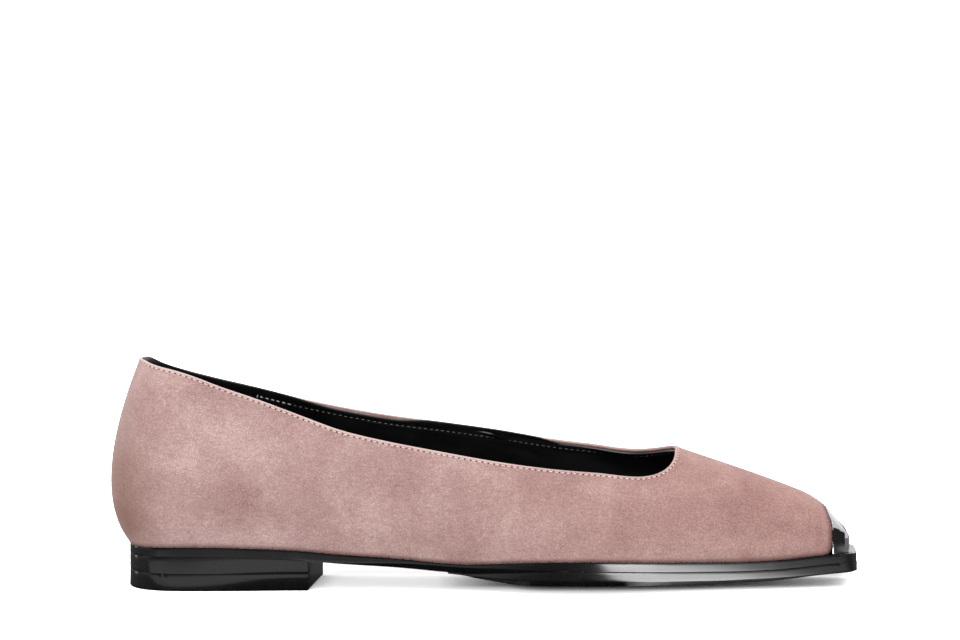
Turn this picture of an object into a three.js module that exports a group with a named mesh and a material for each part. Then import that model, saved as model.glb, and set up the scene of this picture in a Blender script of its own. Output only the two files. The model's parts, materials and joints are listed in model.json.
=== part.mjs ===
// A low slip-on flat for the right foot, with a square toe, a metal toe tip and a stacked
// block heel. Millimetres: X runs from the heel to the toe, Y to the inner side of the foot
// and Z up from the floor.

import * as THREE from 'three';
import { mergeVertices } from 'three/addons/utils/BufferGeometryUtils.js';

// Driving dimensions of the upper
const upperLength = 263.2; // back of the heel curve to the front of the toe tip
const ballWidth = 74.5; // across the ball, at the edge where upper and sole meet
const backHeight = 81; // top of the back seam above the floor
const throatHeight = 49.5; // front of the opening above the floor
const throatReach = 201.8; // back of the heel curve to the front of the opening
const throatTurn = 27.6; // the collar's sides turn in over this length
const upperWall = 1.8; // leather, lining and stiffener together

// Driving dimensions of the toe tip
const tipLength = 6.4; // length of the metal cap along the sole
const tipWall = 1.0;
const tipCorner = 3.5; // radius of the toe's corners, seen from above
const tipLean = 2; // how far the cap's rear edge leans back at its top

// Driving dimensions of the sole, the insole and the heel
const seatHeight = 15.3; // upper's edge above the floor, under the heel
const ballStack = 11.45; // upper's edge above the floor, at the ball
const midsoleThickness = 3.0;
const insoleThickness = 2;
const soleLedge = 0.3; // how far the sole stands out along the sides
const toeSideLedge = 1; // beside the toe
const toeLedge = 2.8; // and in front of it
const waistChamfer = 2.5; // height of the slanted lower edge of the waist
const crownRise = 3; // the tread's edges lie this much above its middle
const edgeBevel = 1.4; // width of the slanted lower edge of the tread
const treadSkive = 120; // where the forefoot layer starts, from the back of the heel curve
const waistEnd = 162.5; // where the waist's slanted edge has died out, from the same place
const treadFlat = 0.33; // share of the tread's half width that is flat
const heelLength = 64.2; // heel block along its outer side
const breastSlant = 4.2; // the inner side of the heel reaches this much further forward
const topPieceHeight = 5.8;
const heelOverhang = 6.7; // upper bulges this far behind the heel
const heelRound = 19; // length of the round stretch of the heel's outline
const heelDrawIn = 2.5; // the heel's outer side narrows by this at its front

const seam = 0.3; // gap between pieces that meet
const mergeDistance = 1e-4; // corners closer than this are one
const rounding = 1e-6; // lengths that differ by less than this are alike

// Outline of the edge where upper and sole meet. along is a share of upperLength, outer and
// inner are shares of ballWidth to each side of the middle line.
const outlineRows = [
  { along: 0.0, outer: 0.322, inner: 0.305 },
  { along: 0.12, outer: 0.336, inner: 0.315 },
  { along: 0.19, outer: 0.343, inner: 0.325 },
  { along: 0.265, outer: 0.34, inner: 0.322 },
  { along: 0.34, outer: 0.348, inner: 0.295 },
  { along: 0.4, outer: 0.368, inner: 0.281 },
  { along: 0.455, outer: 0.403, inner: 0.3 },
  { along: 0.51, outer: 0.443, inner: 0.346 },
  { along: 0.567, outer: 0.476, inner: 0.41 },
  { along: 0.625, outer: 0.495, inner: 0.469 },
  { along: 0.68, outer: 0.49, inner: 0.503 },
  { along: 0.737, outer: 0.451, inner: 0.497 },
  { along: 0.794, outer: 0.389, inner: 0.443 },
  { along: 0.851, outer: 0.326, inner: 0.368 },
  { along: 0.908, outer: 0.262, inner: 0.287 },
  { along: 0.953, outer: 0.218, inner: 0.228 },
  { along: 1.0, outer: 0.184, inner: 0.184 },
];

// Height of that edge: a share of seatHeight plus a share of ballStack.
const edgeRows = [
  { along: 0.025, seat: 0.968, ball: 0 },
  { along: 0.125, seat: 1.0, ball: 0 },
  { along: 0.205, seat: 0.967, ball: 0 },
  { along: 0.26, seat: 0.854, ball: 0.09 },
  { along: 0.3, seat: 0.69, ball: 0.22 },
  { along: 0.34, seat: 0.521, ball: 0.385 },
  { along: 0.395, seat: 0.303, ball: 0.6 },
  { along: 0.445, seat: 0.109, ball: 0.76 },
  { along: 0.476, seat: 0.029, ball: 0.83 },
  { along: 0.525, seat: 0, ball: 0.925 },
  { along: 0.59, seat: 0, ball: 0.984 },
  { along: 0.66, seat: 0, ball: 1.0 },
  { along: 0.725, seat: 0, ball: 0.962 },
  { along: 0.79, seat: 0, ball: 0.918 },
  { along: 0.87, seat: 0, ball: 0.8795 },
  { along: 0.925, seat: 0, ball: 0.9225 },
  { along: 0.955, seat: 0, ball: 0.991 },
  { along: 0.975, seat: 0, ball: 1.024 },
  { along: 1.0, seat: 0, ball: 1.07 },
];

// Underside of the forefoot layer, as shares of ballStack: side is the bottom of its upright
// side, rim the outer edge of the tread and middle the tread's middle. crown is a share of
// crownRise that the rim gains.
const treadRows = [
  { along: 0.45, side: 0.61, rim: 0.585, crown: 0 },
  { along: 0.485, side: 0.541, rim: 0.437, crown: 0.15 },
  { along: 0.515, side: 0.48, rim: 0.266, crown: 0.45 },
  { along: 0.55, side: 0.424, rim: 0.061, crown: 0.8 },
  { along: 0.59, side: 0.435, rim: 0, crown: 1 },
  { along: 0.66, side: 0.441, rim: 0, crown: 1 },
  { along: 0.725, side: 0.41, rim: 0, crown: 1 },
  { along: 0.785, side: 0.371, rim: 0, crown: 1 },
  { along: 0.85, side: 0.345, rim: 0.048, crown: 0.85 },
  { along: 0.9, side: 0.345, rim: 0.109, crown: 0.65 },
  { along: 0.95, side: 0.41, rim: 0.258, crown: 0.5 },
  { along: 1.0, side: 0.524, rim: 0.371, crown: 0.45 },
];

// Crest of the upper's sections. rise is a share of throatHeight. Behind the throat the crest
// is the line that the open sections would reach, and backRise is the share of backHeight
// that is added there.
const crestRows = [
  { along: 0.11, rise: 0, backRise: 1.46 },
  { along: 0.2, rise: 0.3, backRise: 1.12 },
  { along: 0.31, rise: 0.65, backRise: 0.8 },
  { along: 0.42, rise: 0.9, backRise: 0.52 },
  { along: 0.53, rise: 1.0, backRise: 0.31 },
  { along: 0.61, rise: 1.03, backRise: 0.17 },
  { along: 0.67, rise: 1.045, backRise: 0.075 },
  { along: 0.72, rise: 1.04, backRise: 0.015 },
  { along: 0.7622, rise: 1.0, backRise: 0 },
  { along: 0.7997, rise: 0.9335, backRise: 0 },
  { along: 0.8539, rise: 0.836, backRise: 0 },
  { along: 0.908, rise: 0.7335, backRise: 0 },
  { along: 0.935, rise: 0.6785, backRise: 0 },
  { along: 0.957, rise: 0.623, backRise: 0 },
  { along: 0.97, rise: 0.5605, backRise: 0 },
  { along: 0.98, rise: 0.492, backRise: 0 },
  { along: 0.99, rise: 0.435, backRise: 0 },
  { along: 1.0, rise: 0.368, backRise: 0 },
];

// Shape of the upper's sections. bulge is a share of ballWidth, lift and drop are shares of the
// section's own height, and browOut and browIn are shares of its half width on the outer and
// the inner side.
const sectionRows = [
  { along: 0.025, bulge: 0.222, lift: 0.185, browOut: 1.06, browIn: 1.06, drop: 0.4 },
  { along: 0.07, bulge: 0.173, lift: 0.21, browOut: 1.04, browIn: 1.04, drop: 0.38 },
  { along: 0.12, bulge: 0.12, lift: 0.24, browOut: 1.02, browIn: 1.02, drop: 0.36 },
  { along: 0.227, bulge: 0.1, lift: 0.25, browOut: 1.04, browIn: 1.05, drop: 0.34 },
  { along: 0.378, bulge: 0.083, lift: 0.3, browOut: 1.12, browIn: 1.36, drop: 0.3 },
  { along: 0.53, bulge: 0.06, lift: 0.33, browOut: 0.95, browIn: 1.2, drop: 0.22 },
  { along: 0.625, bulge: 0.053, lift: 0.37, browOut: 0.84, browIn: 0.95, drop: 0.14 },
  { along: 0.7, bulge: 0.047, lift: 0.43, browOut: 0.7, browIn: 0.82, drop: 0.06 },
  { along: 0.7622, bulge: 0.045, lift: 0.46, browOut: 0.52, browIn: 0.7, drop: 0.01 },
  { along: 0.832, bulge: 0.034, lift: 0.5, browOut: 0.54, browIn: 0.62, drop: 0 },
  { along: 0.908, bulge: 0.018, lift: 0.56, browOut: 0.66, browIn: 0.68, drop: 0.02 },
  { along: 0.955, bulge: 0.004, lift: 0.66, browOut: 0.72, browIn: 0.72, drop: 0.05 },
  { along: 0.976, bulge: 0, lift: 0.69, browOut: 0.6, browIn: 0.6, drop: 0 },
  { along: 1.0, bulge: 0, lift: 0.88, browOut: 0.6, browIn: 0.6, drop: 0 },
];

// How the sections grow square towards the toe: low and high pull them into the lower and the
// upper corner of their frame, and lean is a share of tipLean.
const cornerRows = [
  { along: 0.7622, low: 1, high: 1, lean: 0 },
  { along: 0.832, low: 1, high: 1, lean: 0 },
  { along: 0.908, low: 1.1, high: 1.1, lean: 0.2 },
  { along: 0.955, low: 2, high: 1.2, lean: 0.8 },
  { along: 0.976, low: 5, high: 1, lean: 1 },
  { along: 1.0, low: 8, high: 1, lean: 0.45 },
];

// Height of the collar along each side: back is a share of backHeight, throat a share of
// throatHeight.
const collarRows = [
  { along: 0.045, outerBack: 1.0, outerThroat: 0, innerBack: 0.995, innerThroat: 0 },
  { along: 0.058, outerBack: 0.986, outerThroat: 0, innerBack: 0.968, innerThroat: 0 },
  { along: 0.091, outerBack: 0.962, outerThroat: 0, innerBack: 0.928, innerThroat: 0 },
  { along: 0.12, outerBack: 0.932, outerThroat: 0, innerBack: 0.902, innerThroat: 0 },
  { along: 0.15, outerBack: 0.84, outerThroat: 0.0875, innerBack: 0.83, innerThroat: 0.078 },
  { along: 0.19, outerBack: 0.72, outerThroat: 0.2145, innerBack: 0.72, innerThroat: 0.209 },
  { along: 0.258, outerBack: 0.5, outerThroat: 0.442, innerBack: 0.52, innerThroat: 0.442 },
  { along: 0.312, outerBack: 0.32, outerThroat: 0.632, innerBack: 0.34, innerThroat: 0.676 },
  { along: 0.365, outerBack: 0.2, outerThroat: 0.7615, innerBack: 0.2, innerThroat: 0.855 },
  { along: 0.44, outerBack: 0.08, outerThroat: 0.8835, innerBack: 0.08, innerThroat: 1.0 },
  { along: 0.52, outerBack: 0, outerThroat: 0.942, innerBack: 0, innerThroat: 1.068 },
  { along: 0.6, outerBack: 0, outerThroat: 0.887, innerBack: 0, innerThroat: 0.991 },
  { along: 0.662, outerBack: 0, outerThroat: 0.857, innerBack: 0, innerThroat: 0.952 },
];

// How the throat's curve runs from the sides to its front
const throatPowerOuter = 3.6;
const throatPowerInner = 2.2;
const throatLead = 0.36; // columns that meet its front start this share of the way to the tip

// Heel end of the columns: they fan out about a point this far along the upper
const fanCentre = 0.11;
const fanEnd = 0.208;
const heelPower = 2.4;

// How finely the curved forms are cut into flat faces
const wallRows = 12;
const heelSteps = 8;
const quarterSteps = 26;
const throatSteps = 11;
const vampSteps = 10;
const curveSamples = 160;
const tipSteps = 2;
const cornerSteps = 3;
const midsoleSteps = 34;
const outsoleSteps = 24;
const insoleSteps = 36;
const heelBlockSteps = 8;
const searchSteps = 40;

const outerSide = -1;
const innerSide = 1;
const heelTurn = 0.1; // the outline's parameter at the end of the heel's round stretch
const toeTurn = 0.97; // and at the start of the toe's corner
const tipStart = upperLength - tipLength;
const tipSink = tipWall + seam; // the upper steps in by this under the cap

// Reads a column of a table with a smooth curve through its rows.
function readRows(rows, column, along) {
  const last = rows.length - 1;
  if (along <= rows[0].along) return rows[0][column];
  if (along >= rows[last].along) return rows[last][column];
  let i = 0;
  while (rows[i + 1].along < along) i += 1;
  const slopeOf = (k) => (rows[k + 1][column] - rows[k][column]) / (rows[k + 1].along - rows[k].along);
  const tangentAt = (k) => {
    if (k === 0) return slopeOf(0);
    if (k === last) return slopeOf(last - 1);
    const before = rows[k].along - rows[k - 1].along;
    const after = rows[k + 1].along - rows[k].along;
    return (slopeOf(k - 1) * after + slopeOf(k) * before) / (before + after);
  };
  const span = rows[i + 1].along - rows[i].along;
  const t = (along - rows[i].along) / span;
  const start = rows[i][column];
  const end = rows[i + 1][column];
  return (
    start * (1 + 2 * t) * (1 - t) ** 2 +
    tangentAt(i) * span * t * (1 - t) ** 2 +
    end * t * t * (3 - 2 * t) -
    tangentAt(i + 1) * span * t * t * (1 - t)
  );
}

const ramp = (value, from, to) => THREE.MathUtils.smoothstep(value, from, to);

// Half width of the outline at a place along the upper, before its ends are rounded
function halfWidth(side, x) {
  const column = side === outerSide ? 'outer' : 'inner';
  return readRows(outlineRows, column, x / upperLength) * ballWidth;
}

// A point of the outline. q runs from 0 at the back of the heel to 1 at the toe's front.
function outlinePoint(side, q) {
  if (q < heelTurn) {
    const angle = (q / heelTurn) * (Math.PI / 2);
    const x = heelOverhang + heelRound * (1 - Math.cos(angle));
    const roundness = (1 - Math.cos(angle) ** heelPower) ** (1 / heelPower);
    return new THREE.Vector2(x, side * halfWidth(side, x) * roundness);
  }
  const straightStart = heelOverhang + heelRound;
  const straightEnd = upperLength - tipCorner;
  if (q <= toeTurn) {
    const x = straightStart + ((q - heelTurn) / (toeTurn - heelTurn)) * (straightEnd - straightStart);
    return new THREE.Vector2(x, side * halfWidth(side, x));
  }
  const angle = ((q - toeTurn) / (1 - toeTurn)) * (Math.PI / 2);
  const x = straightEnd + tipCorner * Math.sin(angle);
  return new THREE.Vector2(x, side * (halfWidth(side, straightEnd) - tipCorner * (1 - Math.cos(angle))));
}

// The parameter of the outline at a place between its two round ends
function outlineParameter(x) {
  const straightStart = heelOverhang + heelRound;
  const straightEnd = upperLength - tipCorner;
  return heelTurn + ((x - straightStart) / (straightEnd - straightStart)) * (toeTurn - heelTurn);
}

// The same point moved outward by an offset, square to the outline
function offsetPoint(side, q, offset) {
  const point = outlinePoint(side, q);
  if (q === 0) return new THREE.Vector2(point.x - offset, 0);
  if (q === 1) return new THREE.Vector2(point.x + offset, point.y);
  const step = 1e-4;
  const ahead = outlinePoint(side, q + step);
  const behind = outlinePoint(side, q - step);
  const direction = ahead.sub(behind).normalize();
  return new THREE.Vector2(point.x - side * direction.y * offset, point.y + side * direction.x * offset);
}

// Height of the edge where upper and sole meet
function edgeHeight(x) {
  const along = x / upperLength;
  return seatHeight * readRows(edgeRows, 'seat', along) + ballStack * readRows(edgeRows, 'ball', along);
}

function crestHeight(x) {
  const along = x / upperLength;
  const rise = throatHeight * readRows(crestRows, 'rise', along);
  return rise + backHeight * readRows(crestRows, 'backRise', along);
}

// Place of the crest that belongs to a column: the columns fan out round the heel.
function crestPlace(x) {
  const along = x / upperLength;
  if (along >= fanEnd) return x;
  const start = heelOverhang / upperLength;
  const power = (fanEnd - start) / (fanEnd - fanCentre);
  const reach = ((along - start) / (fanEnd - start)) ** power;
  return upperLength * (fanCentre + (fanEnd - fanCentre) * reach);
}

// One column of the upper's form, from the sole's edge to the crest, moved inward by inset.
// Returns a function of the share of the way up.
function columnCurve(side, q, inset) {
  const base = offsetPoint(side, q, -inset);
  const x = outlinePoint(side, q).x;
  const along = x / upperLength;
  const shift = (offsetPoint(outerSide, q, -inset).x + offsetPoint(innerSide, q, -inset).x) / 2 - x;
  const crestX = crestPlace(x) + shift * ramp(along, fanEnd, 1);
  const lean = tipLean * readRows(cornerRows, 'lean', along);
  const slope = crestHeight(crestX - lean + 0.5) - crestHeight(crestX - lean - 0.5);
  const foot = new THREE.Vector3(base.x, base.y, edgeHeight(x) + seam);
  const crest = new THREE.Vector3(crestX, 0, crestHeight(crestX - lean) - inset * Math.hypot(1, slope));
  const outward = new THREE.Vector3(foot.x - crest.x, foot.y, 0);
  const width = outward.length();
  outward.normalize();
  const height = crest.z - foot.z;
  const brow = readRows(sectionRows, side === outerSide ? 'browOut' : 'browIn', along);
  const lower = foot.clone().addScaledVector(outward, readRows(sectionRows, 'bulge', along) * ballWidth);
  lower.z += readRows(sectionRows, 'lift', along) * height;
  const upper = crest.clone().addScaledVector(outward, brow * width);
  upper.z -= readRows(sectionRows, 'drop', along) * height;
  const low = readRows(cornerRows, 'low', along);
  const high = readRows(cornerRows, 'high', along);
  return (t) => {
    const shares = [(1 - t) ** 3, 3 * low * t * (1 - t) ** 2, 3 * high * t * t * (1 - t), t ** 3];
    const total = shares[0] + shares[1] + shares[2] + shares[3];
    const point = new THREE.Vector3()
      .addScaledVector(foot, shares[0] / total)
      .addScaledVector(lower, shares[1] / total)
      .addScaledVector(upper, shares[2] / total)
      .addScaledVector(crest, shares[3] / total);
    if (lean > 0) point.x -= lean * Math.max(1 - (point.y / foot.y) ** 2, 0);
    return point;
  };
}

// Height that the collar has at a place along one side
function collarHeight(side, x) {
  const name = side === outerSide ? 'outer' : 'inner';
  const along = x / upperLength;
  return (
    backHeight * readRows(collarRows, `${name}Back`, along) +
    throatHeight * readRows(collarRows, `${name}Throat`, along)
  );
}

// Share of a column that lies below the collar, behind the throat's curve
function collarShare(side, q) {
  const curve = columnCurve(side, q, 0);
  let low = 0;
  let high = 1;
  for (let i = 0; i < searchSteps; i += 1) {
    const middle = (low + high) / 2;
    const point = curve(middle);
    if (point.z < collarHeight(side, point.x)) low = middle;
    else high = middle;
  }
  return low;
}

// A stretch of places, without its first one
function stretch(from, to, steps) {
  return Array.from({ length: steps }, (_, i) => from + ((to - from) * (i + 1)) / steps);
}

// Evenly spaced places on the throat's curve, from where the collar turns in to its front
function throatPlaces(side) {
  const power = side === outerSide ? throatPowerOuter : throatPowerInner;
  const turnIn = throatReach - throatTurn;
  const sideShare = collarShare(side, outlineParameter(turnIn));
  const places = Array.from({ length: curveSamples + 1 }, (_, i) => {
    const angle = (i / curveSamples) * (Math.PI / 2);
    const reach = Math.sin(angle) ** (2 / power);
    const turn = 1 - Math.cos(angle) ** (2 / power);
    const front = i === curveSamples;
    return {
      top: outlineParameter(front ? throatReach : turnIn + throatTurn * reach),
      share: front ? 1 : sideShare + (1 - sideShare) * turn,
    };
  });
  const points = places.map((place) => columnCurve(side, place.top, 0)(place.share));
  const lengths = [0];
  for (let i = 1; i < points.length; i += 1) {
    lengths.push(lengths[i - 1] + points[i].distanceTo(points[i - 1]));
  }
  const total = lengths[curveSamples];
  return stretch(0, total, throatSteps).map((target) => {
    const found = lengths.findIndex((length) => length >= target - rounding);
    return places[found < 0 ? curveSamples : found];
  });
}

// The upper's columns from the heel to the cap. foot and top are the outline's parameters at
// a column's two ends. Those that meet the throat lean back, so that they cross its front.
function wallColumns(side) {
  const turnIn = outlineParameter(throatReach - throatTurn);
  const throat = outlineParameter(throatReach);
  const frontFoot = outlineParameter(throatReach + throatLead * (tipStart - throatReach));
  const end = outlineParameter(tipStart);
  const back = [0, ...stretch(0, heelTurn, heelSteps), ...stretch(heelTurn, turnIn, quarterSteps)];
  const throatFeet = stretch(turnIn, frontFoot, throatSteps);
  const vampFeet = stretch(frontFoot, end, vampSteps);
  return [
    ...back.map((q) => ({ foot: q, top: q, share: collarShare(side, q) })),
    ...throatPlaces(side).map((place, i) => ({ ...place, foot: throatFeet[i] })),
    ...stretch(throat, end, vampSteps).map((top, i) => ({ foot: vampFeet[i], top, share: 1 })),
  ];
}

function tipParameters(start) {
  return [start, ...stretch(start, toeTurn, tipSteps), ...stretch(toeTurn, 1, cornerSteps)];
}

// Turns lists of triangles into one closed geometry, without triangles that fold to a line.
function closedGeometry(corners) {
  const raw = new THREE.BufferGeometry();
  raw.setAttribute('position', new THREE.Float32BufferAttribute(corners.flatMap((p) => [p.x, p.y, p.z]), 3));
  const merged = mergeVertices(raw, mergeDistance);
  const index = merged.getIndex().array;
  const kept = [];
  for (let i = 0; i < index.length; i += 3) {
    const [a, b, c] = [index[i], index[i + 1], index[i + 2]];
    if (a !== b && b !== c && c !== a) kept.push(a, b, c);
  }
  merged.setIndex(kept);
  merged.computeVertexNormals();
  return merged;
}

function addQuad(corners, a, b, c, d) {
  corners.push(a, b, c, a, c, d);
}

// A wall with two faces, open below and closed in front. Each face is a list of columns from
// the inner side's front, round the heel, to the outer side's front. isOpen tells for two
// neighbouring columns whether the wall ends in a rim above them. A wall without a heel end
// is cut off between the columns splitAt and splitAt + 1.
function wallGeometry(outerFace, innerFace, isOpen, splitAt = -1) {
  const corners = [];
  const top = outerFace[0].length - 1;
  const last = outerFace.length - 1;
  const addEnd = (i, k) => {
    for (let j = 0; j < top; j += 1) {
      const ends = [outerFace[i][j], innerFace[i][j], innerFace[i][j + 1], outerFace[i][j + 1]];
      addQuad(corners, ends[0], ends[k], ends[2], ends[4 - k]);
    }
  };
  for (let i = 0; i < last; i += 1) {
    if (i === splitAt) {
      addEnd(i, 1);
      addEnd(i + 1, 3);
      continue;
    }
    for (let j = 0; j < top; j += 1) {
      addQuad(corners, outerFace[i][j], outerFace[i + 1][j], outerFace[i + 1][j + 1], outerFace[i][j + 1]);
      addQuad(corners, innerFace[i][j], innerFace[i][j + 1], innerFace[i + 1][j + 1], innerFace[i + 1][j]);
    }
    addQuad(corners, outerFace[i][0], innerFace[i][0], innerFace[i + 1][0], outerFace[i + 1][0]);
    if (isOpen(i)) {
      addQuad(corners, outerFace[i][top], outerFace[i + 1][top], innerFace[i + 1][top], innerFace[i][top]);
    }
  }
  for (let j = 0; j < top; j += 1) {
    addQuad(corners, outerFace[last][j], outerFace[0][j], outerFace[0][j + 1], outerFace[last][j + 1]);
    addQuad(corners, innerFace[0][j], innerFace[last][j], innerFace[last][j + 1], innerFace[0][j + 1]);
  }
  addQuad(corners, outerFace[last][0], innerFace[last][0], innerFace[0][0], outerFace[0][0]);
  return closedGeometry(corners);
}

// The points of a column, moved inward by what insetAt gives for their place along the upper
function columnPoints(side, column, insetAt) {
  return Array.from({ length: wallRows + 1 }, (_, j) => {
    const up = j / wallRows;
    const q = column.foot + (column.top - column.foot) * up ** 2;
    return columnCurve(side, q, insetAt(outlinePoint(side, q).x))(column.share * up);
  });
}

const straightColumn = (q) => ({ foot: q, top: q, share: 1 });

// How far the upper's inner face lies inside the form. It sinks towards the cap.
function liningInset(x) {
  return upperWall + tipSink * ramp(x, tipStart - tipLength, tipStart - 1);
}

// The upper: one wall from the heel to the toe. Under the cap it steps in.
function makeUpper() {
  const half = (side) => {
    const open = wallColumns(side).map((column) => ({
      outside: columnPoints(side, column, () => 0),
      inside: columnPoints(side, column, liningInset),
      x: outlinePoint(side, column.top).x,
    }));
    const covered = tipParameters(outlineParameter(tipStart)).map((q) => ({
      outside: columnPoints(side, straightColumn(q), () => tipSink),
      inside: columnPoints(side, straightColumn(q), () => tipSink + upperWall),
      x: outlinePoint(side, q).x,
    }));
    return [...open, ...covered];
  };
  const columns = [...half(innerSide).reverse(), ...half(outerSide).slice(1)];
  const isOpen = (i) => Math.min(columns[i].x, columns[i + 1].x) < throatReach - rounding;
  return wallGeometry(columns.map((c) => c.outside), columns.map((c) => c.inside), isOpen);
}

// The cap on the toe: the same form, cut behind and hollow
function makeTip() {
  const start = outlineParameter(tipStart + seam);
  const half = (side, inset) =>
    tipParameters(start).map((q) => columnPoints(side, straightColumn(q), () => inset));
  const face = (inset) => [...half(innerSide, inset).reverse(), ...half(outerSide, inset)];
  const outside = face(0);
  return wallGeometry(outside, face(tipWall), () => false, outside.length / 2 - 1);
}

// A solid through sections that all have as many corners. Each section is listed once round,
// seen from the toe, against the clock. A closed end is filled with a fan.
function loftGeometry(sections, closeBack, closeFront) {
  const corners = [];
  const count = sections[0].length;
  for (let i = 0; i + 1 < sections.length; i += 1) {
    for (let j = 0; j < count; j += 1) {
      const next = (j + 1) % count;
      addQuad(corners, sections[i][j], sections[i][next], sections[i + 1][next], sections[i + 1][j]);
    }
  }
  const front = sections[sections.length - 1];
  for (let j = 1; j + 1 < count; j += 1) {
    if (closeFront) corners.push(front[0], front[j], front[j + 1]);
    if (closeBack) corners.push(sections[0][0], sections[0][j + 1], sections[0][j]);
  }
  return closedGeometry(corners);
}

const at = (point, z) => new THREE.Vector3(point.x, point.y, z);

function soleLedgeAt(x) {
  const atHeel = soleLedge * ramp(x, 0, upperLength / 4);
  return atHeel + (toeSideLedge - soleLedge) * ramp(x, tipStart - 4 * tipLength, tipStart);
}

// Outline of the sole, a little outside the upper's edge
function soleOutline(side, q, inset = 0) {
  const x = outlinePoint(side, q).x;
  const point = offsetPoint(side, q, soleLedgeAt(x) - inset);
  point.x += (toeLedge - toeSideLedge) * ramp(x, tipStart, upperLength);
  return point;
}

function soleParameters(start, steps) {
  return [...stretch(start, toeTurn, steps), ...stretch(toeTurn, 1, cornerSteps + 1)];
}

// Height of the slanted lower edge of the full-length layer, which is deepest at the waist
function waistSlant(x) {
  return waistChamfer * ramp(x, heelOverhang + heelLength, treadSkive) * (1 - ramp(x, treadSkive, waistEnd));
}

// The full-length sole layer. Its lower edge is slanted under the waist.
function makeMidsole() {
  const section = (q) => {
    const x = outlinePoint(innerSide, q).x;
    const top = edgeHeight(x);
    const bottom = top - midsoleThickness;
    const slant = waistSlant(x);
    const left = (inset) => soleOutline(outerSide, q, inset);
    const right = (inset) => soleOutline(innerSide, q, inset);
    return [
      at(left(0), top),
      at(left(0), bottom + slant),
      at(left(slant), bottom),
      at(right(slant), bottom),
      at(right(0), bottom + slant),
      at(right(0), top),
    ];
  };
  const parameters = [0, ...stretch(0, heelTurn, heelSteps), ...soleParameters(heelTurn, midsoleSteps)];
  return loftGeometry(parameters.map(section), false, true);
}

// The forefoot layer under it, thinned out to nothing at the waist. Its middle is flat.
function makeOutsole() {
  const section = (q) => {
    const x = outlinePoint(innerSide, q).x;
    const along = x / upperLength;
    const top = edgeHeight(x) - midsoleThickness - seam;
    const middle = Math.max(ballStack * readRows(treadRows, 'rim', along), 0);
    const rim = middle + crownRise * readRows(treadRows, 'crown', along);
    const side = Math.min(Math.max(ballStack * readRows(treadRows, 'side', along), rim), top - seam / 2);
    const inset = waistSlant(x);
    const rimInset = inset + edgeBevel;
    const left = soleOutline(outerSide, q, rimInset);
    const right = soleOutline(innerSide, q, rimInset);
    return [
      at(soleOutline(outerSide, q, inset), top),
      at(soleOutline(outerSide, q, inset), side),
      at(left, Math.min(rim, side - seam / 4)),
      at(new THREE.Vector2(left.x, left.y * treadFlat), Math.min(middle, rim)),
      at(new THREE.Vector2(right.x, right.y * treadFlat), Math.min(middle, rim)),
      at(right, Math.min(rim, side - seam / 4)),
      at(soleOutline(innerSide, q, inset), side),
      at(soleOutline(innerSide, q, inset), top),
    ];
  };
  const start = outlineParameter(treadSkive);
  return loftGeometry([start, ...soleParameters(start, outsoleSteps)].map(section), true, true);
}

// The insole lies on the sole, inside the wall.
function makeInsole() {
  const end = outlineParameter(tipStart);
  const section = (q) => {
    const x = outlinePoint(innerSide, q).x;
    const inset = liningInset(x) + seam;
    const left = offsetPoint(outerSide, q, -inset);
    const right = offsetPoint(innerSide, q, -inset);
    const bottom = edgeHeight(x) + seam;
    const top = bottom + insoleThickness;
    return [at(left, top), at(left, bottom), at(right, bottom), at(right, top)];
  };
  const parameters = [0, ...stretch(0, heelTurn, heelSteps), ...stretch(heelTurn, end, insoleSteps)];
  return loftGeometry(parameters.map(section), false, true);
}

// A corner of the heel's outline at a height. The outer side draws in towards its front.
function heelPoint(side, share, z) {
  const back = outlinePoint(side, Math.min(share, heelTurn));
  const breast = heelOverhang + heelLength + (side === innerSide ? breastSlant : 0);
  const straightStart = heelOverhang + heelRound;
  const place = straightStart + ((share - heelTurn) / (1 - heelTurn)) * (breast - straightStart);
  const x = share > heelTurn ? place : back.x;
  const y = share > heelTurn ? side * halfWidth(side, x) : back.y;
  const depth = 1 - z / (seatHeight - midsoleThickness);
  const drawIn = side === outerSide ? heelDrawIn * depth * ramp(x, straightStart, breast) : 0;
  return new THREE.Vector3(x, y - side * drawIn, z);
}

const heelShares = [0, ...stretch(0, heelTurn, heelSteps), ...stretch(heelTurn, 1, heelBlockSteps)];

// The heel block, under the back of the sole
function makeHeel() {
  const section = (share) => {
    const topOf = (side) => edgeHeight(heelPoint(side, share, 0).x) - midsoleThickness - seam;
    return [
      heelPoint(outerSide, share, topOf(outerSide)),
      heelPoint(outerSide, share, topPieceHeight + seam),
      heelPoint(innerSide, share, topPieceHeight + seam),
      heelPoint(innerSide, share, topOf(innerSide)),
    ];
  };
  return loftGeometry(heelShares.map(section), false, true);
}

// The top piece, which the heel stands on
function makeTopPiece() {
  const section = (share) => [
    heelPoint(outerSide, share, topPieceHeight),
    heelPoint(outerSide, share, 0),
    heelPoint(innerSide, share, 0),
    heelPoint(innerSide, share, topPieceHeight),
  ];
  return loftGeometry(heelShares.map(section), false, true);
}

function addPiece(group, name, geometry, color, roughness, metalness) {
  const mesh = new THREE.Mesh(geometry, new THREE.MeshStandardMaterial({ color, roughness, metalness }));
  mesh.name = name;
  group.add(mesh);
}

const shoe = new THREE.Group();
addPiece(shoe, 'upper', makeUpper(), 0xb48e89, 0.95, 0);
addPiece(shoe, 'toe_tip', makeTip(), 0xc8c8ca, 0.08, 1);
addPiece(shoe, 'insole', makeInsole(), 0x151414, 0.35, 0);
addPiece(shoe, 'midsole', makeMidsole(), 0x1c1c1e, 0.35, 0);
addPiece(shoe, 'outsole', makeOutsole(), 0x202022, 0.4, 0);
addPiece(shoe, 'heel', makeHeel(), 0x1c1c1e, 0.35, 0);
addPiece(shoe, 'top_piece', makeTopPiece(), 0x222224, 0.5, 0);

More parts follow.
